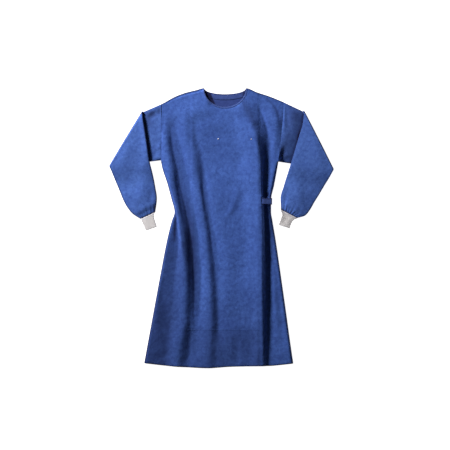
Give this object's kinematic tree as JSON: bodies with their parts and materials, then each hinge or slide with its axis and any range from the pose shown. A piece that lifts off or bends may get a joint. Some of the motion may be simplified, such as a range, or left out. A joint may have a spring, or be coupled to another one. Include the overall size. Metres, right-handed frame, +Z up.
{
  "type": "surgical gown",
  "caption": "Blue surgical gown lying flat on its back, sleeves folded forward, knitted cuffs, belt round one side.",
  "frame": {"origin": "middle of the gown's box, on the surface it lies on", "axes": "+Z up from the surface, towards the front of the gown; +Y along the gown towards the neck; +X towards the wearer's left sleeve"},
  "size_m": [0.9783, 1.222, 0.0367],
  "materials": {
    "gown_cloth": "matte nonwoven",
    "knit_cuff": "matte rib knit",
    "neck_binding": "matte nonwoven"
  },
  "bodies": {
    "root": {"front_panel": "gown_cloth", "front_panel_right_side": "gown_cloth", "front_reinforcement": "gown_cloth", "back_outer": "gown_cloth", "back_inner": "gown_cloth", "sleeve_left": "gown_cloth", "sleeve_right": "gown_cloth", "cuff_left": "knit_cuff", "cuff_right": "knit_cuff", "neck_binding_front": "neck_binding", "neck_band_back": "neck_binding", "belt": "gown_cloth"}
  },
  "joints": []
}
